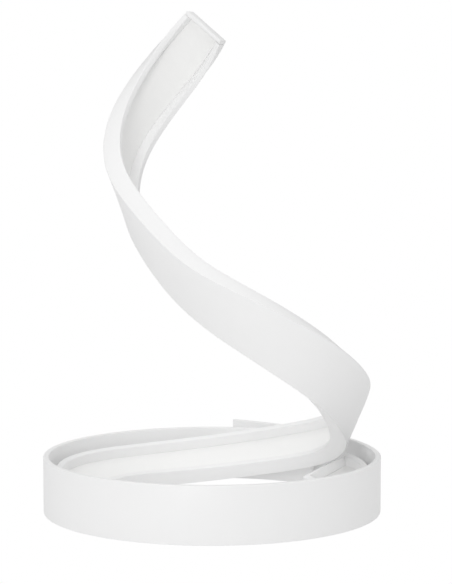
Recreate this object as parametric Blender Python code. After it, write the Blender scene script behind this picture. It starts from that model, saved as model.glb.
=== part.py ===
"""LED spiral table lamp: a U-channel ribbon that climbs in one loose turn from a ring base.

Frame: metres, +Z up, origin on the table under the middle of the whole shape, front towards
-Y. Angles run the usual way round the ring's centre, from +X. The ribbon climbs clockwise seen
from above, so its angle falls as it rises.
"""

import math

import bmesh
import bpy
import numpy as np
from mathutils import Matrix, Vector

MM = 0.001

# Driving dimensions: mm, and degrees where a name ends in ANGLE, FROM, TO, START, END or LEAN
GAP = 0.3                     # clearance that touching pieces keep

RING_CENTRE = (0.0, -11.0)    # from the origin
RING_RADIUS = 90.0            # outside of the base band
BAND_HEIGHT = 29.8
BAND_WALL = 3.0
BAND_FOOT = 0.6               # height of the band's lower edge above the table
TAIL_START = 84.0             # the band's free squared end, outside the ribbon
TAIL_LEAVES = 10.0            # degrees: where the band starts to leave the round ring
TAIL_SPREAD = 0.0042          # mm per square degree: how fast the free end moves out
TAIL_LIFT = 1.0               # how much higher the free end stands
BAND_END = -310.0             # the band's inner end, behind the rising ribbon

CHANNEL_WIDTH = 30.0
CHANNEL_DEPTH = 9.6
FLANGE = 3.2                  # width of the rims
WEB = 1.6
WALL_SLOPE = 1.4              # how far the walls close in below the rims
POCKET_HEIGHT = 4.6           # top of the upright pocket that holds the diffuser
LEDGE_WIDTH = 1.2             # ledges along both walls that the diffuser's edges rest on
LEDGE_HEIGHT = 2.9
CAP = 2.4                     # thickness of the plates that close the ribbon's ends
RIBBON_START = 386.0          # the ribbon's tail, low in the ring
RIBBON_END = -268.0           # the squared tip
TAPER_ANGLE = -245.0          # where the ribbon starts to narrow towards the tip
TIP_SHARE = 0.84              # of its width that is left at the tip
SEAT_RADIUS = 72.4            # middle of the channel's back face where it lies in the ring
SEAT_HEIGHT = 10.0
SEAT_LEAN = -68.0

# Ribbon stations: angle, radius and height of the back face's middle, and lean: 0 with the
# back upright and facing out, -90 with it facing down.
STATIONS = [
    (RIBBON_START, SEAT_RADIUS, SEAT_HEIGHT, SEAT_LEAN),
    (330, SEAT_RADIUS, SEAT_HEIGHT, SEAT_LEAN),
    (270, SEAT_RADIUS, SEAT_HEIGHT, SEAT_LEAN),
    (210, SEAT_RADIUS, SEAT_HEIGHT, SEAT_LEAN),
    (175, SEAT_RADIUS, SEAT_HEIGHT, SEAT_LEAN),
    (148, 72.4, 9.6, -67),
    (118, 72.5, 9.0, -65),
    (91, 73.0, 11.3, -61),
    (63, 73.0, 17.6, -55),
    (28, 77.8, 30.5, -42),
    (0, 77.5, 48.3, -24),
    (-26, 79.0, 66.2, -30),
    (-45, 79.5, 81.6, -23),
    (-71, 69.4, 103.0, -20),
    (-105, 52.4, 124.0, -26),
    (-145, 47.8, 150.5, -29),
    (-179, 51.8, 175.0, -22),
    (-206, 53.5, 199.8, -9),
    (-241, 49.0, 234.0, 1),
    (RIBBON_END, 42.0, 259.2, 0),
]
STEP = 5.0                    # degrees between swept sections

DIFFUSER_HALF = CHANNEL_WIDTH / 2 - FLANGE - WALL_SLOPE - GAP
DIFFUSER_LOW = LEDGE_HEIGHT + GAP
DIFFUSER_WALL = 1.0

TAPE_HALF = 4.0
TAPE_LOW = WEB + GAP
TAPE_HIGH = TAPE_LOW + 0.4
LED_HIGH = TAPE_LOW + 1.0
LED_PITCH = 12.0              # degrees between LED packages
LED_LENGTH = 3.2              # degrees
LED_SLOPE = 0.2               # degrees that a package's end takes to rise
TAPE_INSET = 5.0              # degrees between the tape's end and the ribbon's

PLATE_LOW = 1.6
PLATE_HIGH = 2.8
PLATE_INNER = 58.5
PLATE_OUTER = 86.5
PLATE_FROM = 384.0
PLATE_TO = 146.0
HOLE_LOW = 0.5                # ends of the cutters that bore the plate
HOLE_HIGH = 4.0
FOOT_RADIUS = 4.0
FOOT_HEIGHT = PLATE_LOW - GAP
FOOT_EASE = 0.4
FOOT_CIRCLE = 71.0
FOOT_ANGLES = (376.0, 330.0, 282.0, 234.0, 186.0, 152.0)
BLOCK_INNER = 66.0            # saddles and ballasts, between the plate and the channel
BLOCK_OUTER = 86.4
BLOCK_CLEARANCE = 0.5         # between a block's top and the channel's back
SADDLES = ((382.0, 370.0), (300.0, 292.0), (222.0, 214.0))
BALLASTS = ((368.0, 302.0), (290.0, 224.0))
SADDLE_SCREW_CIRCLE = 81.0
BALLAST_SCREW_CIRCLE = 80.0
BALLAST_SCREW_INSET = 8.0     # degrees from the ballast's end
SCREW_LOW = 0.4
SCREW_HEAD_RADIUS = 2.2
SCREW_HEAD_HEIGHT = 0.9
SCREW_SHANK_RADIUS = 1.0
SCREW_LENGTH = 6.6
SCREW_BORE = 1.3
BLOCK_BORE_LOW = 2.0          # ends of the cutters that bore the blocks and the board
BLOCK_BORE_HIGH = 8.0

DRIVER_ANGLE = 194.0
BOARD_CIRCLE = 76.0
BOARD_SIZE = (14.0, 42.0)
BOARD_LOW = 4.4
BOARD_THICK = 1.0
BOARD_TOP = BOARD_LOW + BOARD_THICK
SHEET_SIZE = (15.0, 44.0)
SHEET_THICK = 0.4
BOARD_SCREW_SPREAD = 11.5     # degrees each side of the driver's middle
BOARD_SCREW_CIRCLE = 80.0
BOARD_SCREW_SHANK = 0.8
BOARD_SCREW_HEAD = 1.8
BOARD_SCREW_HEAD_HEIGHT = 0.9
BOARD_SCREW_LOW = 2.0
BOARD_BORE = 1.1
LEAD_ANGLE = 188.0            # where the driver's lead enters the channel
LEAD_BORE = 1.6

SERVICE_HEIGHT = 7.2          # height of the inlet and the button above the table
SERVICE_BORE = 3.3
INLET_ANGLE = 167.0
BUTTON_ANGLE = 154.0
SWITCH_BOARD_REACH = -13.2
SPRING_RADIUS = 2.3
SPRING_WIRE = 0.22
SPRING_TURNS = 3
SPRING_FROM = -8.7
SPRING_LENGTH = 3.8
SPRING_MARKS = 12             # points per turn

# Turned outlines of the inlet, the button and its switch: radius, and reach from the ring
INLET_OUTLINE = [
    (0, -11.8), (2.7, -11.8), (2.7, -5.6), (3.4, -5.6), (3.4, -3.5), (2.9, -3.5), (2.9, 1.6),
    (1.9, 1.6), (1.9, -7.5), (0, -7.5),
]
BUTTON_OUTLINE = [
    (0, 1.2), (2.6, 1.2), (3.0, 0.8), (3.0, -3.5), (3.7, -3.5), (3.7, -4.3), (1.0, -4.3),
    (1.0, -6.6), (0, -6.6),
]
SWITCH_OUTLINE = [(0, -12.4), (2.9, -12.4), (2.9, -9.3), (1.1, -9.3), (1.1, -8.5), (0, -8.5)]


# Finishes ---------------------------------------------------------------------------------


def finish(name, color, roughness, metallic=0.0):
    """A Principled BSDF material."""
    material = bpy.data.materials.get(name) or bpy.data.materials.new(name)
    material.use_nodes = True
    shader = material.node_tree.nodes["Principled BSDF"]
    shader.inputs["Base Color"].default_value = (*color, 1.0)
    shader.inputs["Roughness"].default_value = roughness
    shader.inputs["Metallic"].default_value = metallic
    return material


def white_paint():
    return finish("white_paint", (0.86, 0.86, 0.86), 0.5)


def milky():
    return finish("milky_diffuser", (0.93, 0.93, 0.92), 0.45)


def black_plastic():
    return finish("black_plastic", (0.03, 0.03, 0.03), 0.5)


def steel():
    return finish("zinc_steel", (0.6, 0.6, 0.58), 0.4, 1.0)


def ballast_iron():
    return finish("ballast_iron", (0.25, 0.25, 0.26), 0.5, 1.0)


def nickel():
    return finish("nickel", (0.7, 0.68, 0.62), 0.3, 1.0)


def rubber():
    return finish("grey_rubber", (0.35, 0.35, 0.35), 0.8)


def board_green():
    return finish("circuit_board", (0.04, 0.22, 0.1), 0.5)


def tape_white():
    return finish("led_tape", (0.85, 0.84, 0.78), 0.5)


def nylon():
    return finish("natural_nylon", (0.78, 0.77, 0.72), 0.5)


def sheath():
    return finish("lead_sheath", (0.3, 0.3, 0.3), 0.5)


# The ribbon's course ----------------------------------------------------------------------


def natural_spline(xs, ys):
    """A natural cubic spline through the points, as a function."""
    xs, ys = np.array(xs, float), np.array(ys, float)
    if xs[0] > xs[-1]:
        xs, ys = xs[::-1], ys[::-1]
    count = len(xs)
    step = np.diff(xs)
    slope = np.diff(ys) / step
    matrix = np.eye(count)
    right = np.zeros(count)
    for i in range(1, count - 1):
        matrix[i, i - 1:i + 2] = step[i - 1], 2 * (step[i - 1] + step[i]), step[i]
        right[i] = 6 * (slope[i] - slope[i - 1])
    bend = np.linalg.solve(matrix, right)

    def value(x):
        i = int(np.clip(np.searchsorted(xs, x) - 1, 0, count - 2))
        h = step[i]
        a = (xs[i + 1] - x) / h
        b = (x - xs[i]) / h
        curve = ((a**3 - a) * bend[i] + (b**3 - b) * bend[i + 1]) * h * h / 6
        return float(a * ys[i] + b * ys[i + 1] + curve)

    return value


STATION_ANGLES = [station[0] for station in STATIONS]
RADIUS_AT = natural_spline(STATION_ANGLES, [station[1] for station in STATIONS])
HEIGHT_AT = natural_spline(STATION_ANGLES, [station[2] for station in STATIONS])
LEAN_AT = natural_spline(STATION_ANGLES, [station[3] for station in STATIONS])


def ring_point(angle, radius, height):
    """A point in mm at this angle round the ring's centre."""
    turn = math.radians(angle)
    x, y = RING_CENTRE
    return Vector((x + radius * math.cos(turn), y + radius * math.sin(turn), height))


def back_middle(angle):
    """The middle of the channel's back face."""
    return ring_point(angle, RADIUS_AT(angle), HEIGHT_AT(angle))


def ribbon_frame(angle):
    """Middle of the channel's back, and the directions across it and out of its back."""
    near = 0.5
    along = (back_middle(angle - near) - back_middle(angle + near)).normalized()
    upright = Vector((0, 0, 1))
    upright = (upright - along * upright.dot(along)).normalized()
    outward = upright.cross(along)
    lean = math.radians(LEAN_AT(angle))
    back = outward * math.cos(lean) + upright * math.sin(lean)
    across = upright * math.cos(lean) - outward * math.sin(lean)
    return back_middle(angle), across, back


def ribbon_point(angle, across, depth):
    """A point of the ribbon's section: across its width, and depth in from its back."""
    middle, side, back = ribbon_frame(angle)
    return middle + side * across - back * depth


def turn_of(length, angle):
    """Degrees of the ribbon at this angle that measure this length in mm."""
    return length / (back_middle(angle + 0.5) - back_middle(angle - 0.5)).length


def steps(first, last, size=STEP):
    """Even steps from first to last, each about size long."""
    count = max(1, round(abs(last - first) / size))
    return [first + (last - first) * i / count for i in range(count + 1)]


def seat_height(radius):
    """Height of the channel's back above the table, at this radius, where it lies in the ring."""
    tilt = math.radians(90 + SEAT_LEAN)
    return SEAT_HEIGHT + (radius - SEAT_RADIUS) * math.tan(tilt)


# Making solids ----------------------------------------------------------------------------


def new_object(name, bm, material, frame=None, smooth=30.0):
    """Makes the mesh an object, placed at the frame."""
    mesh = bpy.data.meshes.new(name)
    bmesh.ops.recalc_face_normals(bm, faces=bm.faces)
    bm.to_mesh(mesh)
    bm.free()
    mesh.materials.append(material)
    mesh.shade_smooth()
    mesh.set_sharp_from_angle(angle=math.radians(smooth))
    return place_object(name, mesh, frame)


def place_object(name, data, frame=None):
    """Links an object to the scene, placed at the frame."""
    obj = bpy.data.objects.new(name, data)
    bpy.context.scene.collection.objects.link(obj)
    if frame:
        obj.matrix_world = frame
    return obj


def loft(name, rings, material):
    """A closed solid through rings of points (mm), with flat ends."""
    bm = bmesh.new()
    loops = [[bm.verts.new(point * MM) for point in ring] for ring in rings]
    count = len(loops[0])
    for low, high in zip(loops, loops[1:]):
        for i in range(count):
            j = (i + 1) % count
            bm.faces.new((low[i], low[j], high[j], high[i]))
    bm.faces.new(list(reversed(loops[0])))
    bm.faces.new(loops[-1])
    return new_object(name, bm, material)


def taper(angle):
    """Share of the ribbon's full width at this angle."""
    past = max(0.0, TAPER_ANGLE - angle) / (TAPER_ANGLE - RIBBON_END)
    return 1.0 - (1.0 - TIP_SHARE) * past**2


def ribbon_sweep(name, profile, angles, material):
    """Sweeps a section of (across, depth) points along the ribbon, narrower towards the tip."""
    rings = [[ribbon_point(angle, u * taper(angle), d) for u, d in profile] for angle in angles]
    return loft(name, rings, material)


def ribbon_span(trim):
    """Angles along the whole ribbon, less a trim in mm at each end."""
    first = RIBBON_START - turn_of(trim, RIBBON_START)
    last = RIBBON_END + turn_of(trim, RIBBON_END)
    return steps(first, last)


def arc_solid(name, section, first, last, material):
    """Sweeps a section of (radius, height) points round the ring's axis."""
    rings = [[ring_point(angle, r, z) for r, z in section] for angle in steps(first, last)]
    return loft(name, rings, material)


def on_ring(angle, radius, height):
    """Local frame on the ring: X out along the radius, Z up."""
    turn = math.radians(angle)
    return Matrix.Translation(ring_point(angle, radius, height) * MM) @ Matrix.Rotation(turn, 4, "Z")


def upright_on_ring(angle, radius, height=0.0):
    """Local frame on the ring with X pointing up."""
    return on_ring(angle, radius, height) @ Matrix.Rotation(math.radians(-90), 4, "Y")


def box(name, frame, size, material, bevel=0.0):
    """A box of size (out, along, up) in mm, centred on the frame."""
    bm = bmesh.new()
    bmesh.ops.create_cube(bm, size=MM)
    bmesh.ops.scale(bm, vec=size, verts=bm.verts)
    if bevel:
        bmesh.ops.bevel(
            bm, geom=list(bm.edges), offset=bevel * MM, segments=1, profile=0.5,
            affect="EDGES", material=-1,
        )
    return new_object(name, bm, material, frame)


def turned(name, frame, outline, material, sides=20):
    """Turns (radius, reach) points round the frame's local X axis. Both ends lie on the axis."""
    bm = bmesh.new()
    verts = [bm.verts.new(Vector((reach, 0, radius)) * MM) for radius, reach in outline]
    edges = [bm.edges.new(pair) for pair in zip(verts, verts[1:])]
    bmesh.ops.spin(
        bm, geom=verts + edges, cent=(0, 0, 0), axis=(1, 0, 0), angle=math.tau,
        steps=sides, use_merge=True,
    )
    bmesh.ops.remove_doubles(bm, verts=bm.verts, dist=1e-6)
    return new_object(name, bm, material, frame)


def pin(name, frame, radius, low, high, material, sides=20):
    """A plain cylinder along the frame's local X from low to high."""
    return turned(name, frame, [(0, low), (radius, low), (radius, high), (0, high)], material, sides)


def bore(target, name, frame, radius, low, high, sides=12):
    """Bores a round hole along the frame's local X, and leaves the cutter as a hidden helper."""
    cutter = pin(name, frame, radius, low, high, steel(), sides)
    cutter.hide_render = True
    cutter.display_type = "WIRE"
    modifier = target.modifiers.new(name, "BOOLEAN")
    modifier.operation = "DIFFERENCE"
    modifier.solver = "EXACT"
    modifier.object = cutter


def round_wire(name, points, radius, resolution, material, frame=None):
    """A round wire through the points (mm) of the frame."""
    curve = bpy.data.curves.new(name, "CURVE")
    curve.dimensions = "3D"
    curve.bevel_depth = radius * MM
    curve.bevel_resolution = resolution
    curve.use_fill_caps = True
    spline = curve.splines.new("POLY")
    spline.points.add(len(points) - 1)
    for spot, point in zip(spline.points, points):
        spot.co = (*(Vector(point) * MM), 1.0)
    curve.materials.append(material)
    return place_object(name, curve, frame)


def lead(name, points, radius):
    """A lead through the points (mm), read from one smooth curve."""
    marks = range(len(points))
    reads = [natural_spline(marks, [point[axis] for point in points]) for axis in range(3)]
    fineness = 6
    count = fineness * (len(points) - 1)
    smooth = [[read(i / fineness) for read in reads] for i in range(count + 1)]
    round_wire(name, smooth, radius, 2, sheath())


# The ribbon -------------------------------------------------------------------------------


def make_channel():
    half = CHANNEL_WIDTH / 2
    rim = half - FLANGE
    pocket = rim - WALL_SLOPE
    ledge = pocket - LEDGE_WIDTH
    right = [
        (ledge, WEB), (ledge, LEDGE_HEIGHT), (pocket, LEDGE_HEIGHT), (pocket, POCKET_HEIGHT),
        (rim, CHANNEL_DEPTH), (half, CHANNEL_DEPTH), (half, 0),
    ]
    left = [(-u, d) for u, d in reversed(right)]
    channel = ribbon_sweep("spiral_channel", left + right, ribbon_span(CAP + GAP), white_paint())
    middle, _, back = ribbon_frame(LEAD_ANGLE)
    frame = Matrix.Translation(middle * MM) @ back.to_track_quat("X", "Z").to_matrix().to_4x4()
    bore(channel, "lead_hole", frame, LEAD_BORE, -WEB - 1.0, 1.0)


def make_caps():
    half = CHANNEL_WIDTH / 2
    plate = [(-half, 0), (-half, CHANNEL_DEPTH), (half, CHANNEL_DEPTH), (half, 0)]
    tail = RIBBON_START - turn_of(CAP, RIBBON_START)
    tip = RIBBON_END + turn_of(CAP, RIBBON_END)
    ribbon_sweep("tail_cap", plate, [RIBBON_START, tail], white_paint())
    ribbon_sweep("tip_cap", plate, [tip, RIBBON_END], white_paint())


def make_diffuser():
    """A milky strip that rests on the channel's ledges, well below its rims."""
    high = DIFFUSER_LOW + DIFFUSER_WALL
    strip = [
        (-DIFFUSER_HALF, DIFFUSER_LOW), (-DIFFUSER_HALF, high), (DIFFUSER_HALF, high),
        (DIFFUSER_HALF, DIFFUSER_LOW),
    ]
    ribbon_sweep("channel_diffuser", strip, ribbon_span(CAP + 2 * GAP), milky())


def make_tape():
    """The LED tape: a thin board with a raised package every few degrees."""
    first = RIBBON_START - TAPE_INSET
    last = RIBBON_END + TAPE_INSET
    count = int((first - last) / LED_PITCH)
    pitch = (first - last) / count
    rings = []

    def ring(angle, high):
        section = [(-TAPE_HALF, TAPE_LOW), (-TAPE_HALF, high), (TAPE_HALF, high), (TAPE_HALF, TAPE_LOW)]
        rings.append([ribbon_point(angle, u, d) for u, d in section])

    for i in range(count):
        start = first - i * pitch
        rise = start - pitch / 2 + LED_LENGTH / 2
        fall = rise - LED_LENGTH
        ring(start, TAPE_HIGH)
        ring(rise, TAPE_HIGH)
        ring(rise - LED_SLOPE, LED_HIGH)
        ring(fall + LED_SLOPE, LED_HIGH)
        ring(fall, TAPE_HIGH)
    ring(last, TAPE_HIGH)
    loft("led_tape", rings, tape_white())


# The ring ---------------------------------------------------------------------------------


def make_band():
    """The rolled band, whose free end leaves the round and lifts a little."""
    rings = []
    for angle in steps(TAIL_START, BAND_END):
        away = max(0.0, angle - TAIL_LEAVES)
        out = RING_RADIUS + TAIL_SPREAD * away**2
        low = BAND_FOOT + TAIL_LIFT * (away / (TAIL_START - TAIL_LEAVES))**2
        high = low + BAND_HEIGHT
        section = [(out - BAND_WALL, low), (out, low), (out, high), (out - BAND_WALL, high)]
        rings.append([ring_point(angle, r, z) for r, z in section])
    band = loft("base_band", rings, white_paint())
    for name, angle in (("inlet_hole", INLET_ANGLE), ("button_hole", BUTTON_ANGLE)):
        bore(band, name, on_ring(angle, RING_RADIUS, SERVICE_HEIGHT), SERVICE_BORE, -6, 4, sides=20)


def saddle_screws():
    """Places of the screws that hold the saddles: one in the middle of each."""
    return [(sum(ends) / 2, SADDLE_SCREW_CIRCLE) for ends in SADDLES]


def ballast_screws(first, last):
    """Places of the two screws that hold the ballast between these angles."""
    inset = BALLAST_SCREW_INSET
    return [(first - inset, BALLAST_SCREW_CIRCLE), (last + inset, BALLAST_SCREW_CIRCLE)]


def cover_screws():
    """Places of all the screws that go up through the cover."""
    places = saddle_screws()
    for first, last in BALLASTS:
        places += ballast_screws(first, last)
    return places


def board_screw_angles():
    """Angles of the two screws that hold the driver board."""
    return (DRIVER_ANGLE - BOARD_SCREW_SPREAD, DRIVER_ANGLE + BOARD_SCREW_SPREAD)


def make_cover():
    """The annular plate under the ring, bored for the cover screws and the board screws."""
    section = [
        (PLATE_INNER, PLATE_LOW), (PLATE_OUTER, PLATE_LOW), (PLATE_OUTER, PLATE_HIGH),
        (PLATE_INNER, PLATE_HIGH),
    ]
    plate = arc_solid("bottom_cover", section, PLATE_FROM, PLATE_TO, steel())
    for i, (angle, radius) in enumerate(cover_screws()):
        bore(plate, f"cover_hole_{i + 1}", upright_on_ring(angle, radius), SCREW_BORE, HOLE_LOW, HOLE_HIGH)
    for i, angle in enumerate(board_screw_angles()):
        frame = upright_on_ring(angle, BOARD_SCREW_CIRCLE)
        bore(plate, f"board_hole_{i + 1}", frame, BOARD_BORE, HOLE_LOW, HOLE_HIGH)


def make_block(name, ends, places, material):
    """A saddle or a ballast: it fills the space between the cover and the channel's back."""
    low = PLATE_HIGH + GAP
    section = [
        (BLOCK_INNER, low), (BLOCK_OUTER, low),
        (BLOCK_OUTER, seat_height(BLOCK_OUTER) - BLOCK_CLEARANCE),
        (BLOCK_INNER, seat_height(BLOCK_INNER) - BLOCK_CLEARANCE),
    ]
    block = arc_solid(name, section, *ends, material)
    for i, (angle, radius) in enumerate(places):
        frame = upright_on_ring(angle, radius)
        bore(block, f"{name}_hole_{i + 1}", frame, SCREW_BORE, BLOCK_BORE_LOW, BLOCK_BORE_HIGH)


def make_blocks():
    for i, ends in enumerate(SADDLES):
        make_block(f"channel_saddle_{i + 1}", ends, [saddle_screws()[i]], nylon())
    for i, ends in enumerate(BALLASTS):
        make_block(f"ballast_{i + 1}", ends, ballast_screws(*ends), ballast_iron())


def make_cover_screws():
    """Pan-head screws whose heads lie under the cover."""
    head, shank, high = SCREW_HEAD_RADIUS, SCREW_SHANK_RADIUS, SCREW_HEAD_HEIGHT
    outline = [
        (0, 0), (head * 0.8, 0), (head, high * 0.4), (head, high), (shank, high),
        (shank, SCREW_LENGTH - shank), (0, SCREW_LENGTH),
    ]
    for i, (angle, radius) in enumerate(cover_screws()):
        turned(f"cover_screw_{i + 1}", upright_on_ring(angle, radius, SCREW_LOW), outline, steel(), sides=12)


def make_feet():
    radius, high, ease = FOOT_RADIUS, FOOT_HEIGHT, FOOT_EASE
    outline = [(0, 0), (radius - ease, 0), (radius, ease), (radius, high), (0, high)]
    for i, angle in enumerate(FOOT_ANGLES):
        turned(f"rubber_foot_{i + 1}", upright_on_ring(angle, FOOT_CIRCLE), outline, rubber())


# The driver -------------------------------------------------------------------------------


def on_board(along, radius, up):
    """A frame on the driver board: its middle is at the driver's angle."""
    return on_ring(DRIVER_ANGLE, 0, 0) @ Matrix.Translation(Vector((radius, along, up)) * MM)


def make_board():
    """The driver board, the insulating sheet under it and the two screws through both."""
    middle = on_board(0, BOARD_CIRCLE, BOARD_LOW + BOARD_THICK / 2)
    board = box("driver_board", middle, (*BOARD_SIZE, BOARD_THICK), board_green())
    below = on_board(0, BOARD_CIRCLE, PLATE_HIGH + GAP + SHEET_THICK / 2)
    sheet = box("insulating_sheet", below, (*SHEET_SIZE, SHEET_THICK), nylon())
    seat = BOARD_TOP + GAP
    head = seat + BOARD_SCREW_HEAD_HEIGHT
    outline = [
        (0, BOARD_SCREW_LOW), (BOARD_SCREW_SHANK, BOARD_SCREW_LOW), (BOARD_SCREW_SHANK, seat),
        (BOARD_SCREW_HEAD, seat), (BOARD_SCREW_HEAD, head), (0, head),
    ]
    for i, angle in enumerate(board_screw_angles()):
        frame = upright_on_ring(angle, BOARD_SCREW_CIRCLE)
        bore(board, f"board_clearance_{i + 1}", frame, SCREW_BORE, BLOCK_BORE_LOW, BLOCK_BORE_HIGH)
        bore(sheet, f"sheet_clearance_{i + 1}", frame, SCREW_BORE, BLOCK_BORE_LOW, BLOCK_BORE_HIGH)
        turned(f"board_screw_{i + 1}", frame, outline, steel(), sides=12)


def make_board_parts():
    """The coil, the driver chip, the lead terminal and the capacitor on the board."""
    terminal_green = finish("terminal_green", (0.1, 0.35, 0.2), 0.5)
    sleeve = finish("capacitor_sleeve", (0.06, 0.07, 0.16), 0.4)
    parts = (
        ("driver_coil", (-4.0, 79.6), (6.4, 8.0, 4.2), black_plastic(), 0.4),
        ("driver_chip", (3.5, 73.5), (4.0, 5.0, 1.4), black_plastic(), 0.0),
        ("driver_terminal", (10.6, 75.4), (5.0, 6.0, 3.4), terminal_green, 0.0),
    )
    foot = BOARD_TOP + GAP
    for name, (along, radius), size, material, bevel in parts:
        box(name, on_board(along, radius, foot + size[2] / 2), size, material, bevel)
    can_radius, can_length = 2.2, 8.0
    lying = on_board(1.0, 80.6, foot + can_radius) @ Matrix.Rotation(math.radians(90), 4, "Z")
    pin("driver_capacitor", lying, can_radius, 0, can_length, sleeve)


# Inlet and button -------------------------------------------------------------------------


def make_inlet():
    """The low-voltage inlet: a barrel behind the band, its contact and a nut outside."""
    frame = on_ring(INLET_ANGLE, RING_RADIUS, SERVICE_HEIGHT)
    turned("dc_inlet", frame, INLET_OUTLINE, black_plastic(), sides=24)
    pin("inlet_contact", frame, 0.6, -7.2, 0.6, nickel(), sides=12)
    nut = pin("inlet_nut", frame, 4.6, GAP, 1.5, nickel(), sides=6)
    bore(nut, "nut_bore", frame, 3.2, -1, 3, sides=20)


def make_button():
    """The dimmer's cap, return spring, switch and small board, all along the axis it slides on."""
    frame = on_ring(BUTTON_ANGLE, RING_RADIUS, SERVICE_HEIGHT)
    turned("dimmer_button", frame, BUTTON_OUTLINE, white_paint(), sides=24)
    turned("button_switch", frame, SWITCH_OUTLINE, black_plastic(), sides=16)
    board = frame @ Matrix.Translation(Vector((SWITCH_BOARD_REACH, 0, -0.6)) * MM)
    box("switch_board", board, (0.9, 9.0, 6.0), board_green())
    count = SPRING_TURNS * SPRING_MARKS
    coil = []
    for i in range(count + 1):
        turn = math.tau * i / SPRING_MARKS
        reach = SPRING_FROM + SPRING_LENGTH * i / count
        coil.append((reach, SPRING_RADIUS * math.cos(turn), SPRING_RADIUS * math.sin(turn)))
    round_wire("button_spring", coil, SPRING_WIRE, 1, steel(), frame)


def make_leads():
    """Leads inside the ring, and the one that feeds the tape through the channel's web."""
    lead("tape_lead", [
        ribbon_point(LEAD_ANGLE, 0, TAPE_LOW - GAP),
        ribbon_point(LEAD_ANGLE, 0, -1.2),
        ring_point(LEAD_ANGLE - 3, 73.0, 7.6),
        ring_point(LEAD_ANGLE - 6.5, 73.5, 7.3),
    ], 0.5)
    lead("inlet_lead", [
        ring_point(INLET_ANGLE, 77.6, SERVICE_HEIGHT),
        ring_point(171.5, 76.0, 6.6),
        ring_point(177.3, 76.5, 7.3),
    ], 0.6)
    lead("button_lead", [
        ring_point(155.5, 75.4, 6.4),
        ring_point(160.0, 71.0, 5.0),
        ring_point(168.0, 70.5, 4.6),
        ring_point(177.0, 71.6, 5.9),
    ], 0.5)


def main():
    for old in list(bpy.data.objects):
        bpy.data.objects.remove(old, do_unlink=True)
    make_channel()
    make_caps()
    make_diffuser()
    make_tape()
    make_band()
    make_cover()
    make_blocks()
    make_cover_screws()
    make_feet()
    make_board()
    make_board_parts()
    make_inlet()
    make_button()
    make_leads()


main()
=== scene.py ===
"""Looks of an LED ribbon table lamp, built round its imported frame.

Metres, +Z up, front towards -Y. A channel ribbon lies in a ring base, climbs clockwise in one
loose turn and ends in a squared tip. The sizes below are in millimetres and are turned into
metres where a mesh is made.
"""

import logging
import math
from collections.abc import Callable, Sequence
from dataclasses import dataclass, field
from enum import Enum

import bmesh
import bpy
import numpy as np
from mathutils import Matrix, Vector


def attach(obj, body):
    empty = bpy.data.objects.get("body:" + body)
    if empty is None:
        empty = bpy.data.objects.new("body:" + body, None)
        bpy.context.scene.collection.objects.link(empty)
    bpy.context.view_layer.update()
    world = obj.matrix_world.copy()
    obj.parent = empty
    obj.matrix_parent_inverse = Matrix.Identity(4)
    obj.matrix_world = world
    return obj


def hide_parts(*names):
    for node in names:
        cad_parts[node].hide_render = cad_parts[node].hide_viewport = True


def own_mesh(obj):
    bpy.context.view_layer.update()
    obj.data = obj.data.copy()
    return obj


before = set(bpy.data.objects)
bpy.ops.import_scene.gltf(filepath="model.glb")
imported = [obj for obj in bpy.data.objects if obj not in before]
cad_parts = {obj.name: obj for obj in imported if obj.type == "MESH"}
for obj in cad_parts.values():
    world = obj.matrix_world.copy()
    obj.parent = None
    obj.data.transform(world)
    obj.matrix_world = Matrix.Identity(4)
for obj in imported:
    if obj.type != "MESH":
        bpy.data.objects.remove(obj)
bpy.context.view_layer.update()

LOG = logging.getLogger("lamp")
MM = 0.001
LAMP = "lamp"
BUTTON = "button"
RING_CENTRE = (0.0, -11.0)
RING_RADIUS = 90.0
SERVICE_HEIGHT = 7.2
SERVICE_BORE = 3.3
INLET_ANGLE = 167.0
BUTTON_ANGLE = 154.0

Colour = tuple[float, float, float]
Outline = Sequence[tuple[float, float]]


# Finishes ---------------------------------------------------------------------------------


class Texture(Enum):
    """How a finish's surface is textured, as the stretch of its grain along X, Y and Z."""

    EVEN = (1.0, 1.0, 1.0)
    DRAWN = (1.0, 1.0, 0.06)
    ROLLED = (0.05, 1.0, 1.0)


def group_socket(group: bpy.types.NodeTree, name: str, way: str, kind: str) -> None:
    """Adds a socket to a node group.

    Args:
        group: The shader node group.
        name: The socket's name.
        way: INPUT or OUTPUT.
        kind: The socket's type, such as NodeSocketFloat.
    """
    group.interface.new_socket(name=name, in_out=way, socket_type=kind)


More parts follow.
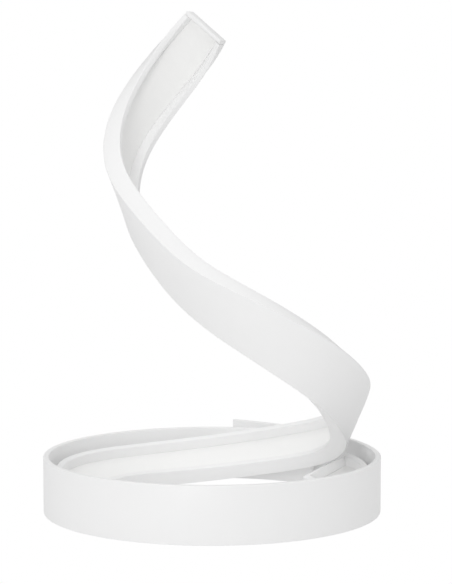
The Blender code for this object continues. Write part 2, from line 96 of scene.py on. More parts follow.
def grain_group() -> bpy.types.NodeTree:
    """Fine surface grain: a height for a Bump node and a roughness that varies with it.

    Returns:
        The node group, built once.
    """
    name = "surface_grain"
    if name in bpy.data.node_groups:
        return bpy.data.node_groups[name]
    group = bpy.data.node_groups.new(name, "ShaderNodeTree")
    for socket, kind in (("Stretch", "NodeSocketVector"), ("Scale", "NodeSocketFloat"),
                         ("Low", "NodeSocketFloat"), ("High", "NodeSocketFloat")):
        group_socket(group, socket, "INPUT", kind)
    for socket in ("Height", "Roughness"):
        group_socket(group, socket, "OUTPUT", "NodeSocketFloat")
    nodes, links = group.nodes, group.links
    enter, leave = nodes.new("NodeGroupInput"), nodes.new("NodeGroupOutput")
    place = nodes.new("ShaderNodeTexCoord")
    stretch = nodes.new("ShaderNodeVectorMath")
    stretch.operation = "MULTIPLY"
    links.new(place.outputs["Object"], stretch.inputs[0])
    links.new(enter.outputs["Stretch"], stretch.inputs[1])
    fine = nodes.new("ShaderNodeTexNoise")
    fine.inputs["Detail"].default_value = 3.0
    fine.inputs["Roughness"].default_value = 0.55
    links.new(stretch.outputs[0], fine.inputs["Vector"])
    links.new(enter.outputs["Scale"], fine.inputs["Scale"])
    level = nodes.new("ShaderNodeMapRange")
    level.inputs["From Min"].default_value = 0.3
    level.inputs["From Max"].default_value = 0.7
    links.new(fine.outputs["Fac"], level.inputs["Value"])
    links.new(enter.outputs["Low"], level.inputs["To Min"])
    links.new(enter.outputs["High"], level.inputs["To Max"])
    links.new(fine.outputs["Fac"], leave.inputs["Height"])
    links.new(level.outputs["Result"], leave.inputs["Roughness"])
    return group


def drift_group() -> bpy.types.NodeTree:
    """Slow drift between two close colours, as paint and plastic show over a hand's width.

    Returns:
        The node group, built once.
    """
    name = "colour_drift"
    if name in bpy.data.node_groups:
        return bpy.data.node_groups[name]
    group = bpy.data.node_groups.new(name, "ShaderNodeTree")
    for socket, kind in (("First", "NodeSocketColor"), ("Second", "NodeSocketColor"),
                         ("Scale", "NodeSocketFloat")):
        group_socket(group, socket, "INPUT", kind)
    group_socket(group, "Color", "OUTPUT", "NodeSocketColor")
    nodes, links = group.nodes, group.links
    enter, leave = nodes.new("NodeGroupInput"), nodes.new("NodeGroupOutput")
    place = nodes.new("ShaderNodeTexCoord")
    slow = nodes.new("ShaderNodeTexNoise")
    slow.inputs["Detail"].default_value = 2.0
    links.new(place.outputs["Object"], slow.inputs["Vector"])
    links.new(enter.outputs["Scale"], slow.inputs["Scale"])
    blend = nodes.new("ShaderNodeMix")
    blend.data_type = "RGBA"
    links.new(slow.outputs["Fac"], blend.inputs["Factor"])
    links.new(enter.outputs["First"], blend.inputs["A"])
    links.new(enter.outputs["Second"], blend.inputs["B"])
    links.new(blend.outputs["Result"], leave.inputs["Color"])
    return group


@dataclass(frozen=True)
class Finish:
    """One finish of the lamp, as a procedural material.

    Its colour drifts to a second one, its roughness runs between two values with the grain, its
    relief is in mm, and its depth is how far light goes in, in metres.
    """

    name: str
    colour: Colour
    drift: Colour
    roughness: tuple[float, float]
    grain: float
    relief: float
    texture: Texture = Texture.EVEN
    metallic: float = 0.0
    coat: float = 0.0
    glow: float = 0.0
    depth: float = 0.0
    drift_scale: float = 25.0

    def material(self) -> bpy.types.Material:
        """Builds the material the first time it is asked for, and returns it."""
        if self.name in bpy.data.materials:
            return bpy.data.materials[self.name]
        material = bpy.data.materials.new(self.name)
        material.use_nodes = True
        nodes, links = material.node_tree.nodes, material.node_tree.links
        shader = nodes["Principled BSDF"]
        shader.inputs["Metallic"].default_value = self.metallic
        shader.inputs["Coat Weight"].default_value = self.coat
        shader.inputs["Coat Roughness"].default_value = 0.25
        if self.glow:
            shader.inputs["Emission Color"].default_value = (1.0, 1.0, 1.0, 1.0)
            shader.inputs["Emission Strength"].default_value = self.glow
        if self.depth:
            shader.inputs["Subsurface Weight"].default_value = 0.35
            shader.inputs["Subsurface Radius"].default_value = (1.0, 0.95, 0.9)
            shader.inputs["Subsurface Scale"].default_value = self.depth
        colour = nodes.new("ShaderNodeGroup")
        colour.node_tree = drift_group()
        colour.inputs["First"].default_value = (*self.colour, 1.0)
        colour.inputs["Second"].default_value = (*self.drift, 1.0)
        colour.inputs["Scale"].default_value = self.drift_scale
        links.new(colour.outputs["Color"], shader.inputs["Base Color"])
        grain = nodes.new("ShaderNodeGroup")
        grain.node_tree = grain_group()
        grain.inputs["Stretch"].default_value = self.texture.value
        grain.inputs["Scale"].default_value = self.grain
        grain.inputs["Low"].default_value, grain.inputs["High"].default_value = self.roughness
        links.new(grain.outputs["Roughness"], shader.inputs["Roughness"])
        bump = nodes.new("ShaderNodeBump")
        bump.inputs["Strength"].default_value = 0.5
        bump.inputs["Distance"].default_value = self.relief * MM
        links.new(grain.outputs["Height"], bump.inputs["Height"])
        links.new(bump.outputs["Normal"], shader.inputs["Normal"])
        return material


WHITE_COAT = Finish(
    "white_coat", (0.92, 0.92, 0.92), (0.90, 0.90, 0.90),
    roughness=(0.36, 0.46), grain=900.0, relief=0.003,
)
MILKY = Finish(
    "milky_diffuser", (0.93, 0.93, 0.93), (0.91, 0.91, 0.91),
    roughness=(0.38, 0.46), grain=500.0, relief=0.006, glow=0.16, depth=0.0015,
)
BLACK_MOULDED = Finish(
    "black_moulded", (0.022, 0.022, 0.023), (0.03, 0.03, 0.031),
    roughness=(0.4, 0.6), grain=1600.0, relief=0.02,
)
ZINC = Finish(
    "zinc_steel", (0.58, 0.58, 0.56), (0.5, 0.5, 0.48),
    roughness=(0.3, 0.45), grain=900.0, relief=0.008, texture=Texture.ROLLED, metallic=1.0,
)
NICKEL = Finish(
    "nickel_plate", (0.68, 0.66, 0.61), (0.6, 0.58, 0.54),
    roughness=(0.18, 0.3), grain=1400.0, relief=0.004, texture=Texture.DRAWN, metallic=1.0,
)
CAST = Finish(
    "cast_ballast", (0.09, 0.09, 0.095), (0.14, 0.13, 0.13),
    roughness=(0.6, 0.8), grain=700.0, relief=0.12, metallic=1.0,
)
RUBBER = Finish(
    "grey_rubber", (0.2, 0.2, 0.2), (0.25, 0.25, 0.25),
    roughness=(0.7, 0.85), grain=1500.0, relief=0.03,
)
BOARD = Finish(
    "solder_mask", (0.02, 0.13, 0.05), (0.03, 0.18, 0.07),
    roughness=(0.25, 0.4), grain=1200.0, relief=0.015, coat=0.3, drift_scale=300.0,
)
TAPE = Finish(
    "tape_mask", (0.8, 0.79, 0.73), (0.74, 0.72, 0.64),
    roughness=(0.35, 0.5), grain=900.0, relief=0.01, drift_scale=120.0,
)
NYLON = Finish(
    "natural_nylon", (0.7, 0.69, 0.64), (0.64, 0.62, 0.57),
    roughness=(0.4, 0.55), grain=900.0, relief=0.02, depth=0.001,
)
SHEATH = Finish(
    "lead_sheath", (0.3, 0.3, 0.3), (0.36, 0.36, 0.36),
    roughness=(0.4, 0.55), grain=1200.0, relief=0.01,
)
SLEEVE = Finish(
    "capacitor_sleeve", (0.02, 0.025, 0.08), (0.03, 0.035, 0.1),
    roughness=(0.2, 0.3), grain=900.0, relief=0.004, coat=0.5,
)


# Making meshes ----------------------------------------------------------------------------


def natural_spline(xs: Sequence[float], ys: Sequence[float]) -> Callable[[float], float]:
    """A natural cubic spline through the points.

    Args:
        xs: The places, rising or falling.
        ys: The values there.

    Returns:
        A function that gives the value at any place.
    """
    at, value = np.array(xs, float), np.array(ys, float)
    if at[0] > at[-1]:
        at, value = at[::-1], value[::-1]
    count = len(at)
    gap = np.diff(at)
    slope = np.diff(value) / gap
    matrix, right = np.eye(count), np.zeros(count)
    for i in range(1, count - 1):
        matrix[i, i - 1:i + 2] = gap[i - 1], 2 * (gap[i - 1] + gap[i]), gap[i]
        right[i] = 6 * (slope[i] - slope[i - 1])
    bend = np.linalg.solve(matrix, right)

    def read(x: float) -> float:
        i = int(np.clip(np.searchsorted(at, x) - 1, 0, count - 2))
        a, b = (at[i + 1] - x) / gap[i], (x - at[i]) / gap[i]
        curve = ((a**3 - a) * bend[i] + (b**3 - b) * bend[i + 1]) * gap[i]**2 / 6
        return float(a * value[i] + b * value[i + 1] + curve)

    return read


def steps(first: float, last: float, size: float) -> list[float]:
    """Even steps from first to last, each about size long."""
    count = max(1, round(abs(last - first) / size))
    return [first + (last - first) * i / count for i in range(count + 1)]


def ring_point(angle: float, radius: float, height: float) -> Vector:
    """A point at this angle round the ring's centre, from millimetres to metres."""
    turn = math.radians(angle)
    x, y = RING_CENTRE
    return Vector((x + radius * math.cos(turn), y + radius * math.sin(turn), height)) * MM


def outward(angle: float, radius: float, height: float) -> Matrix:
    """A frame on the ring with X out along the radius and Z up."""
    turn = Matrix.Rotation(math.radians(angle), 4, "Z")
    return Matrix.Translation(ring_point(angle, radius, height)) @ turn


def upward(angle: float, radius: float, height: float) -> Matrix:
    """A frame on the ring with X pointing up."""
    return outward(angle, radius, height) @ Matrix.Rotation(math.radians(-90), 4, "Y")


def sweep(profile: Outline, frames: Sequence[Matrix], rounding: float = 0.0) -> bmesh.types.BMesh:
    """Extrudes a closed section step by step from frame to frame.

    Args:
        profile: The section's corners in mm, in each frame's X and Y.
        frames: Where the section stands at each step.
        rounding: Radius of the section's corners in mm.

    Returns:
        The closed mesh.
    """
    bm = bmesh.new()
    section = bm.faces.new([bm.verts.new((x * MM, y * MM, 0.0)) for x, y in profile])
    if rounding:
        bmesh.ops.bevel(bm, geom=list(bm.verts), offset=rounding * MM, segments=3, profile=0.5,
                        affect="VERTICES", material=-1)
        section = bm.faces[:][0]
    bmesh.ops.transform(bm, matrix=frames[0], verts=bm.verts)
    for before, after in zip(frames, frames[1:]):
        made = bmesh.ops.extrude_face_region(bm, geom=[section])["geom"]
        section = next(item for item in made if isinstance(item, bmesh.types.BMFace))
        bmesh.ops.transform(bm, matrix=after @ before.inverted(), verts=section.verts)
    bmesh.ops.recalc_face_normals(bm, faces=bm.faces)
    return bm


def turned(outline: Outline, place: Matrix, sides: int = 64) -> bmesh.types.BMesh:
    """Turns an outline round the place's X axis.

    Args:
        outline: Points as (radius, reach) in mm, both ends on the axis.
        place: The frame whose X is the axis.
        sides: Steps round the turn.

    Returns:
        The closed mesh.
    """
    bm = bmesh.new()
    verts = [bm.verts.new((reach * MM, 0.0, radius * MM)) for radius, reach in outline]
    edges = [bm.edges.new(pair) for pair in zip(verts, verts[1:])]
    bmesh.ops.spin(bm, geom=verts + edges, cent=(0, 0, 0), axis=(1, 0, 0), angle=math.tau,
                   steps=sides, use_merge=True)
    bmesh.ops.remove_doubles(bm, verts=bm.verts, dist=1e-6)
    bmesh.ops.transform(bm, matrix=place, verts=bm.verts)
    bmesh.ops.recalc_face_normals(bm, faces=bm.faces)
    return bm


def drill(radius: float, low: float, high: float, place: Matrix, sides: int = 64) -> bmesh.types.BMesh:
    """A plain cylinder in mm along the place's X axis from low to high, to bore a hole with."""
    return turned([(0, low), (radius, low), (radius, high), (0, high)], place, sides)


def block(size: tuple[float, float, float], place: Matrix) -> bmesh.types.BMesh:
    """A box of this size in mm, centred on the place."""
    bm = bmesh.new()
    bmesh.ops.create_cube(bm, size=MM)
    bmesh.ops.scale(bm, vec=size, verts=bm.verts)
    bmesh.ops.transform(bm, matrix=place, verts=bm.verts)
    return bm


def soften(bm: bmesh.types.BMesh, radius: float, above: float = 35.0, segments: int = 3) -> None:
    """Rounds every edge that is sharper than an angle.

    Args:
        bm: The mesh.
        radius: Radius in mm.
        above: Angle between the faces in degrees.
        segments: Steps across the rounding.
    """
    sharp = [edge for edge in bm.edges
             if len(edge.link_faces) == 2 and edge.calc_face_angle(0.0) > math.radians(above)]
    bmesh.ops.bevel(bm, geom=sharp, offset=radius * MM, segments=segments, profile=0.5,
                    affect="EDGES", material=-1, clamp_overlap=True)


def carve(bm: bmesh.types.BMesh, tools: Sequence[bmesh.types.BMesh]) -> bmesh.types.BMesh:
    """Takes each tool's shape out of a mesh with an exact Boolean.

    Args:
        bm: The mesh.
        tools: Closed meshes to take away.

    Returns:
        The carved mesh.
    """
    helpers = []
    for shape in (bm, *tools):
        mesh = bpy.data.meshes.new("carving")
        shape.to_mesh(mesh)
        shape.free()
        helper = bpy.data.objects.new("carving", mesh)
        bpy.context.scene.collection.objects.link(helper)
        helpers.append(helper)
    for tool in helpers[1:]:
        modifier = helpers[0].modifiers.new("carve", "BOOLEAN")
        modifier.operation, modifier.solver, modifier.object = "DIFFERENCE", "EXACT", tool
    bpy.context.view_layer.update()
    result = bmesh.new()
    result.from_object(helpers[0], bpy.context.evaluated_depsgraph_get())
    for helper in helpers:
        mesh = helper.data
        bpy.data.objects.remove(helper, do_unlink=True)
        bpy.data.meshes.remove(mesh)
    return result


@dataclass
class Piece:
    """One visible piece: its mesh, its finish, the body it rides on and the nodes it replaces."""

    name: str
    finish: Finish
    slot: str
    nodes: tuple[str, ...]
    body: str = LAMP
    smooth: float = 35.0

    def place(self, bm: bmesh.types.BMesh) -> bpy.types.Object:
        """Turns the mesh into an object of the scene.

        Args:
            bm: The finished mesh, which is freed.

        Returns:
            The object.
        """
        mesh = bpy.data.meshes.new(self.name)
        bm.to_mesh(mesh)
        bm.free()
        mesh.materials.append(self.finish.material())
        mesh.shade_smooth()
        mesh.set_sharp_from_angle(angle=math.radians(self.smooth))
        piece = bpy.data.objects.new(self.name, mesh)
        bpy.context.scene.collection.objects.link(piece)
        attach(piece, self.body)
        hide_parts(*self.nodes)
        LOG.info("%s: %d faces", self.name, len(mesh.polygons))
        return piece


# The ribbon -------------------------------------------------------------------------------


@dataclass
class RibbonPath:
    """The ribbon's course: angle in degrees, radius and height in mm, and lean in degrees.

    The rows of the climb from 91 degrees on are the rounded result of a least-squares fit. They
    are not worked out from driving dimensions.
    """

    start: float = 386.0
    end: float = -268.0
    seat: tuple[float, float, float] = (72.4, 10.0, -68.0)
    seat_angles: tuple[float, ...] = (386.0, 330.0, 270.0, 210.0, 175.0)
    climb: tuple[tuple[float, float, float, float], ...] = (
        (148, 72.4, 9.6, -67), (118, 72.5, 9.0, -65), (91, 73.0, 11.3, -61), (63, 73.0, 17.6, -55),
        (28, 77.8, 30.5, -42), (0, 77.5, 48.3, -24), (-26, 79.0, 66.2, -30), (-45, 79.5, 81.6, -23),
        (-71, 69.4, 103.0, -20), (-105, 52.4, 124.0, -26), (-145, 47.8, 150.5, -29),
        (-179, 51.8, 175.0, -22), (-206, 53.5, 199.8, -9), (-241, 49.0, 234.0, 1),
        (-268, 42.0, 259.2, 0),
    )
    taper_from: float = -245.0
    tip_share: float = 0.84
    reads: list[Callable[[float], float]] = field(init=False)

    def __post_init__(self) -> None:
        """Fits a spline to the radius, the height and the lean."""
        stations = [(angle, *self.seat) for angle in self.seat_angles] + list(self.climb)
        angles = [station[0] for station in stations]
        self.reads = [natural_spline(angles, [station[i] for station in stations]) for i in (1, 2, 3)]

    def middle(self, angle: float) -> Vector:
        """The middle of the channel's back at this angle, in metres."""
        radius, height = self.reads[0], self.reads[1]
        return ring_point(angle, radius(angle), height(angle))

    def frame(self, angle: float) -> Matrix:
        """The section's frame: X across the ribbon, Y from its back to its open side."""
        along = (self.middle(angle - 0.5) - self.middle(angle + 0.5)).normalized()
        up = Vector((0, 0, 1))
        up = (up - along * up.dot(along)).normalized()
        out = up.cross(along)
        lean = math.radians(self.reads[2](angle))
        across = up * math.cos(lean) - out * math.sin(lean)
        inward = -(out * math.cos(lean) + up * math.sin(lean))
        turn = Matrix((across, inward, across.cross(inward))).transposed().to_4x4()
        return Matrix.Translation(self.middle(angle)) @ turn

    def section(self, angle: float) -> Matrix:
        """The section's frame, drawn in across the ribbon where it narrows towards the tip."""
        past = max(0.0, self.taper_from - angle) / (self.taper_from - self.end)
        share = 1.0 - (1.0 - self.tip_share) * past**2
        return self.frame(angle) @ Matrix.Diagonal((share, 1.0, 1.0, 1.0))

    def degrees(self, length: float, angle: float) -> float:
        """Degrees of the ribbon at this angle that measure a length in mm."""
        return length * MM / (self.middle(angle - 0.5) - self.middle(angle + 0.5)).length

    def frames(self, trim: float, size: float) -> list[Matrix]:
        """Section frames along the whole ribbon, less a trim in mm at each end."""
        first = self.start - self.degrees(trim, self.start)
        last = self.end + self.degrees(trim, self.end)
        return [self.section(angle) for angle in steps(first, last, size)]


@dataclass
class Ribbon:
    """The channel, its end caps and its sunk diffuser."""

    path: RibbonPath
    width: float = 30.0
    depth: float = 9.6
    flange: float = 3.2
    web: float = 1.6
    wall_slope: float = 1.4
    pocket_height: float = 4.6
    ledge_width: float = 1.2
    ledge_height: float = 2.9
    cap: float = 2.4
    seam: float = 0.06
    play: float = 0.02
    diffuser_low: float = 3.2
    diffuser_wall: float = 1.0
    diffuser_hollow: float = 0.35
    diffuser_samples: int = 5
    diffuser_end: float = 0.3
    edge: float = 0.45
    fineness: float = 1.5

    def channel(self) -> None:
        """Sweeps the U section, with a ledge inside each wall and rounded corners."""
        half, rim = self.width / 2, self.width / 2 - self.flange
        pocket = rim - self.wall_slope
        ledge = pocket - self.ledge_width
        right = [(ledge, self.web), (ledge, self.ledge_height), (pocket, self.ledge_height),
                 (pocket, self.pocket_height), (rim, self.depth), (half, self.depth), (half, 0)]
        left = [(-x, y) for x, y in reversed(right)]
        frames = self.path.frames(self.cap + self.seam, self.fineness)
        Piece("channel_body", WHITE_COAT, "painted_white", ("spiral_channel",)).place(
            sweep(left + right, frames, rounding=self.edge))

    def caps(self) -> None:
        """Closes both ends with a plate whose edges are eased."""
        half = self.width / 2
        section = [(-half, 0), (-half, self.depth), (half, self.depth), (half, 0)]
        path = self.path
        ends = {
            "tail_cap": (path.start, path.start - path.degrees(self.cap, path.start)),
            "tip_cap": (path.end + path.degrees(self.cap, path.end), path.end),
        }
        for name, (first, last) in ends.items():
            bm = sweep(section, [path.section(first), path.section(last)])
            soften(bm, self.edge)
            Piece(f"{name}_plate", WHITE_COAT, "painted_white", (name,)).place(bm)

    def diffuser(self) -> None:
        """Sweeps the milky strip, a little hollow across its face."""
        half = self.width / 2 - self.flange - self.wall_slope - self.play
        high = self.diffuser_low + self.diffuser_wall
        count = self.diffuser_samples
        shares = [i / count for i in range(-count, count + 1)]
        face = [(share * half, high + self.diffuser_hollow * share**4) for share in shares]
        under = [(half, self.diffuser_low), (-half, self.diffuser_low)]
        frames = self.path.frames(self.cap + self.diffuser_end, self.fineness)
        Piece("diffuser_strip", MILKY, "milky_diffuser", ("channel_diffuser",)).place(
            sweep(face + under, frames))

    def build(self) -> None:
        """Builds the whole ribbon."""
        self.channel()
        self.caps()
        self.diffuser()


# The ring base ----------------------------------------------------------------------------


@dataclass
class RingBase:
    """The rolled band, the annular cover under it, its screws and its feet."""

    band_height: float = 29.8
    band_wall: float = 3.0
    band_foot: float = 0.6
    band_edge: float = 0.5
    band_end_edge: float = 0.35
    tail_start: float = 84.0
    tail_leaves: float = 10.0
    tail_spread: float = 0.0042
    tail_lift: float = 1.0
    band_end: float = -310.0
    cover: tuple[float, float, float, float] = (58.5, 86.5, 1.6, 2.8)
    cover_arc: tuple[float, float] = (384.0, 146.0)
    foot_angles: tuple[float, ...] = (376.0, 330.0, 282.0, 234.0, 186.0, 152.0)
    foot_radius: float = 4.0
    foot_height: float = 1.3
    foot_circle: float = 71.0
    cover_screws: tuple[tuple[float, float], ...] = (
        (376.0, 81.0), (296.0, 81.0), (218.0, 81.0),
        (360.0, 80.0), (310.0, 80.0), (282.0, 80.0), (232.0, 80.0),
    )
    board_screws: tuple[tuple[float, float], ...] = ((182.5, 80.0), (205.5, 80.0))
    cover_bore: float = 1.3
    board_bore: float = 1.1
    bore_sides: int = 24
    cover_edge: float = 0.25
    screw_low: float = 0.4

    def band_frame(self, angle: float) -> Matrix:
        """The band's section frame at this angle: X out, Y up, from its lower outer corner."""
        away = max(0.0, angle - self.tail_leaves)
        lift = self.band_foot + self.tail_lift * (away / (self.tail_start - self.tail_leaves)) ** 2
        radius = RING_RADIUS + self.tail_spread * away * away
        return outward(angle, radius, lift) @ Matrix.Rotation(math.radians(90), 4, "X")

    def band(self) -> None:
        """Sweeps the band, eases its squared ends and bores it for the inlet and the button."""
        section = [(-self.band_wall, 0), (0, 0), (0, self.band_height), (-self.band_wall, self.band_height)]
        frames = [self.band_frame(angle) for angle in steps(self.tail_start, self.band_end, 1.5)]
        bm = sweep(section, frames, rounding=self.band_edge)
        ends = [face for face in bm.faces if len(face.verts) > 4]
        rims = {edge for face in ends for edge in face.edges}
        bmesh.ops.bevel(bm, geom=list(rims), offset=self.band_end_edge * MM, segments=3, profile=0.5,
                        affect="EDGES", material=-1, clamp_overlap=True)
        bores = [drill(SERVICE_BORE, -6, 4, outward(angle, RING_RADIUS, SERVICE_HEIGHT))
                 for angle in (INLET_ANGLE, BUTTON_ANGLE)]
        Piece("rolled_band", WHITE_COAT, "painted_white", ("base_band",)).place(carve(bm, bores))

    def plate(self) -> None:
        """Makes the annular cover with its screw holes."""
        inner, outer, low, high = self.cover
        section = [(inner, low), (outer, low), (outer, high), (inner, high)]
        turn = Matrix.Rotation(math.radians(90), 4, "X")
        frames = [outward(angle, 0, 0) @ turn for angle in steps(*self.cover_arc, 1.5)]
        bm = sweep(section, frames, rounding=self.cover_edge)
        drilled = ((self.cover_bore, self.cover_screws), (self.board_bore, self.board_screws))
        holes = [drill(bore, 0.5, 4, upward(angle, radius, 0), self.bore_sides)
                 for bore, places in drilled for angle, radius in places]
        Piece("cover_plate", ZINC, "zinc_steel", ("bottom_cover",)).place(carve(bm, holes))

    def screws(self) -> None:
        """Makes the pan-head screws with a cross recess."""
        for i, (angle, radius) in enumerate(self.cover_screws):
            place = upward(angle, radius, self.screw_low)
            outline = [(0, 0), (1.3, 0.04), (1.85, 0.22), (2.2, 0.55), (2.2, 0.9), (1.0, 0.9), (1.0, 6.0),
                       (0.4, 6.6), (0, 6.6)]
            slots = [block((1.2, long, wide), place) for long, wide in ((2.2, 0.4), (0.4, 2.2))]
            Piece(f"cover_screw_head_{i + 1}", ZINC, "zinc_steel", (f"cover_screw_{i + 1}",)).place(
                carve(turned(outline, place, 32), slots))

    def feet(self) -> None:
        """Makes the rubber feet, with a shallow ring pressed into each underside."""
        for i, angle in enumerate(self.foot_angles):
            wide, high = self.foot_radius, self.foot_height
            outline = [(0, 0.12), (wide * 0.4, 0.12), (wide * 0.5, 0), (wide * 0.8, 0), (wide * 0.94, 0.08),
                       (wide, 0.35), (wide, high - 0.15), (wide * 0.96, high), (0, high)]
            Piece(f"foot_pad_{i + 1}", RUBBER, "grey_rubber", (f"rubber_foot_{i + 1}",)).place(
                turned(outline, upward(angle, self.foot_circle, 0), 48))

    def build(self) -> None:
        """Builds the whole base."""
        self.band()
        self.plate()
        self.screws()
        self.feet()


# Inlet and button -------------------------------------------------------------------------


@dataclass
class Service:
    """What is reached from outside at the back: the power inlet and the dimmer button."""

    height: float = SERVICE_HEIGHT
    spring_radius: float = 2.3
    spring_wire: float = 0.22
    spring_turns: int = 3
    spring_marks: int = 24
    spring_sides: int = 10
    spring_from: float = -8.7
    spring_length: float = 3.8
    spring_keep: float = 0.62

    def inlet(self) -> None:
        """Makes the inlet's barrel, its nut and its centre contact."""
        place = outward(INLET_ANGLE, RING_RADIUS, self.height)
        barrel = [(0, -11.8), (2.7, -11.8), (2.7, -5.6), (3.4, -5.6), (3.4, -3.5), (2.9, -3.5),
                  (2.9, 1.4), (2.7, 1.6), (2.15, 1.6), (1.9, 1.3), (1.9, -7.5), (0, -7.5)]
        Piece("inlet_barrel", BLACK_MOULDED, "black_plastic", ("dc_inlet",)).place(turned(barrel, place))
        contact = turned([(0, -7.2), (0.6, -7.2), (0.6, 0.3), (0.45, 0.55), (0, 0.6)], place, 32)
        Piece("inlet_pin", NICKEL, "nickel", ("inlet_contact",)).place(contact)
        nut = turned([(0, 0.3), (4.1, 0.3), (4.6, 0.5), (4.6, 1.2), (4.1, 1.5), (0, 1.5)], place, 6)
        bore = drill(3.2, -1, 3, place, 48)
        Piece("inlet_ring_nut", NICKEL, "nickel", ("inlet_nut",), smooth=20.0).place(carve(nut, [bore]))

    def button(self) -> None:
        """Makes the dimmer's cap, dished where a finger presses it."""
        place = outward(BUTTON_ANGLE, RING_RADIUS, self.height)
        outline = [(0, 0.9), (1.0, 0.93), (1.8, 1.05), (2.3, 1.2), (2.6, 1.2), (2.85, 1.1), (3.0, 0.85),
                   (3.0, -3.5), (3.7, -3.5), (3.7, -4.3), (1.0, -4.3), (1.0, -6.4), (0.8, -6.6), (0, -6.6)]
        cap = Piece("dimmer_cap", WHITE_COAT, "painted_white", ("dimmer_button",), body=BUTTON)
        cap.place(turned(outline, place))

    def spring(self) -> None:
        """Coils the return spring at one length; on the lamp it shortens towards the switch as the button
        goes in.
        """
        place = outward(BUTTON_ANGLE, RING_RADIUS, self.height)
        count = self.spring_turns * self.spring_marks
        corners = [math.tau * i / self.spring_sides for i in range(self.spring_sides)]
        wire = [(self.spring_wire * math.cos(corner), self.spring_wire * math.sin(corner))
                for corner in corners]
        rise = self.spring_length / (math.tau * self.spring_turns * self.spring_radius)
        frames = []
        for i in range(count + 1):
            turn = math.tau * i / self.spring_marks
            out = Vector((0.0, math.cos(turn), math.sin(turn)))
            along = Vector((rise, -math.sin(turn), math.cos(turn))).normalized()
            reach = self.spring_from + self.spring_length * i / count
            centre = out * self.spring_radius + Vector((reach, 0, 0))
            turned_to = Matrix((out, along.cross(out), along)).transposed().to_4x4()
            frames.append(place @ Matrix.Translation(centre * MM) @ turned_to)
        coil = Piece("return_spring", ZINC, "zinc_steel", ("button_spring",)).place(sweep(wire, frames))
        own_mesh(coil)

    def build(self) -> None:
        """Builds the inlet, the button and its spring."""
        self.inlet()
        self.button()
        self.spring()


# Pieces inside ----------------------------------------------------------------------------


@dataclass
class Innards:
    """Gives each carried node inside the base or the channel its finish."""

    finishes: dict[str, Finish] = field(default_factory=lambda: {
        "led_tape": TAPE, "ballast_": CAST, "channel_saddle_": NYLON, "insulating_sheet": NYLON,
        "driver_board": BOARD, "switch_board": BOARD, "driver_terminal": BOARD, "driver_chip": BLACK_MOULDED,
        "driver_coil": BLACK_MOULDED, "driver_capacitor": SLEEVE, "button_switch": BLACK_MOULDED,
        "board_screw_": ZINC, "tape_lead": SHEATH, "inlet_lead": SHEATH, "button_lead": SHEATH,
    })

    def build(self) -> None:
        """Puts a finish on every node. One that a piece replaces is hidden, and takes the coat."""
        for name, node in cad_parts.items():
            named = (made for start, made in self.finishes.items() if name.startswith(start))
            finish = next(named, WHITE_COAT)
            node.data.materials.clear()
            node.data.materials.append(finish.material())
            LOG.info("%s carries %s", name, finish.name)


# The studio -------------------------------------------------------------------------------


@dataclass(frozen=True)
class SoftLight:
    """A square soft light that faces the lamp: angles in degrees, metres and watts."""

    name: str
    azimuth: float
    height: float
    distance: float
    size: float
    power: float

    def hang(self, target: Vector) -> None:
        """Hangs the light so that it faces a point."""
        around, above = math.radians(self.azimuth), math.radians(self.height)
        flat = math.cos(above)
        way = Vector((math.sin(around) * flat, -math.cos(around) * flat, math.sin(above)))
        data = bpy.data.lights.new(self.name, "AREA")
        data.shape, data.size, data.energy = "SQUARE", self.size, self.power
        light = bpy.data.objects.new(self.name, data)
        bpy.context.scene.collection.objects.link(light)
        light.location = target + way * self.distance
        light.rotation_euler = (-way).to_track_quat("-Z", "Y").to_euler()


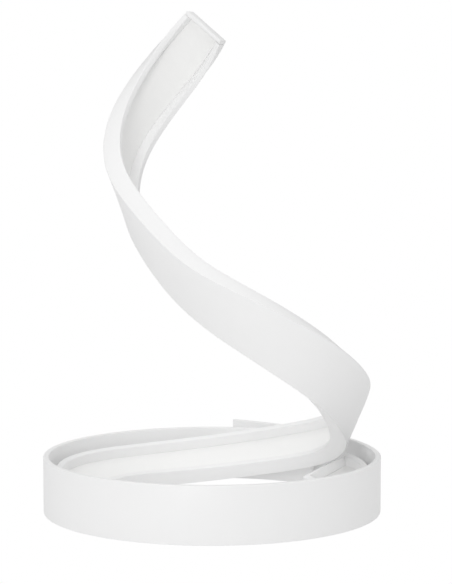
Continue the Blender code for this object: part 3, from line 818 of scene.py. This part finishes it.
@dataclass
class Studio:
    """Camera, lights, backdrop and floor."""

    target: tuple[float, float, float] = (0.0074, -0.011, 0.1172)
    distance: float = 0.993
    elevation: float = 5.1
    lens: float = 115.3
    sky: tuple[float, float] = (0.36, 1.06)
    table: float = 0.56
    lights: tuple[SoftLight, ...] = (
        SoftLight("key", -16.0, 12.0, 1.6, 0.5, 5.0),
        SoftLight("top", 0.0, 84.0, 1.4, 0.9, 1.4),
    )

    def camera(self) -> None:
        """Aims a long lens at the lamp from a little above it."""
        data = bpy.data.cameras.new("camera")
        data.lens, data.sensor_width = self.lens, 36.0
        camera = bpy.data.objects.new("camera", data)
        bpy.context.scene.collection.objects.link(camera)
        tilt = math.radians(self.elevation)
        back = Vector((0.0, -math.cos(tilt), math.sin(tilt)))
        camera.location = Vector(self.target) + back * self.distance
        camera.rotation_euler = (-back).to_track_quat("-Z", "Y").to_euler()
        bpy.context.scene.camera = camera

    def backdrop(self) -> None:
        """A white world: clean white behind the lamp, and as a light brighter overhead."""
        world = bpy.data.worlds.new("backdrop")
        bpy.context.scene.world = world
        world.use_nodes = True
        nodes, links = world.node_tree.nodes, world.node_tree.links
        soft = nodes["Background"]
        soft.inputs["Color"].default_value = (1.0, 1.0, 1.0, 1.0)
        way, axes, rise = (nodes.new(kind) for kind in
                           ("ShaderNodeTexCoord", "ShaderNodeSeparateXYZ", "ShaderNodeMapRange"))
        rise.inputs["To Min"].default_value, rise.inputs["To Max"].default_value = self.sky
        links.new(way.outputs["Generated"], axes.inputs[0])
        links.new(axes.outputs["Z"], rise.inputs["Value"])
        links.new(rise.outputs["Result"], soft.inputs["Strength"])
        clean = nodes.new("ShaderNodeBackground")
        clean.inputs["Strength"].default_value = 1.0
        clean.inputs["Color"].default_value = (1.0, 1.0, 1.0, 1.0)
        ray, mix = nodes.new("ShaderNodeLightPath"), nodes.new("ShaderNodeMixShader")
        links.new(ray.outputs["Is Camera Ray"], mix.inputs["Fac"])
        links.new(soft.outputs[0], mix.inputs[1])
        links.new(clean.outputs[0], mix.inputs[2])
        links.new(mix.outputs[0], nodes["World Output"].inputs["Surface"])

    def floor(self) -> None:
        """A plain pale light table that the feet stand on: clean white, and softer as a light."""
        bm = bmesh.new()
        bmesh.ops.create_circle(bm, cap_ends=True, segments=96, radius=6.0)
        mesh = bpy.data.meshes.new("floor")
        bm.to_mesh(mesh)
        bm.free()
        finish = Finish("pale_floor", (0.30, 0.30, 0.30), (0.28, 0.28, 0.28), (0.8, 0.9), 200.0, 0.01,
                        glow=self.table)
        material = finish.material()
        nodes, links = material.node_tree.nodes, material.node_tree.links
        clean, ray, mix = (nodes.new(kind) for kind in
                           ("ShaderNodeEmission", "ShaderNodeLightPath", "ShaderNodeMixShader"))
        links.new(ray.outputs["Is Camera Ray"], mix.inputs["Fac"])
        links.new(nodes["Principled BSDF"].outputs[0], mix.inputs[1])
        links.new(clean.outputs[0], mix.inputs[2])
        links.new(mix.outputs[0], nodes["Material Output"].inputs["Surface"])
        mesh.materials.append(material)
        floor = bpy.data.objects.new("floor", mesh)
        bpy.context.scene.collection.objects.link(floor)

    def build(self) -> None:
        """Sets up the whole studio."""
        bpy.context.scene.view_settings.view_transform = "Standard"
        self.camera()
        self.backdrop()
        self.floor()
        for light in self.lights:
            light.hang(Vector(self.target))


def main() -> None:
    """Builds the studio and the lamp in order, and reports each piece."""
    logging.basicConfig(level=logging.INFO, format="%(name)s: %(message)s")
    Studio().build()
    Innards().build()
    Ribbon(RibbonPath()).build()
    RingBase().build()
    Service().build()


if __name__ == "__main__":
    main()
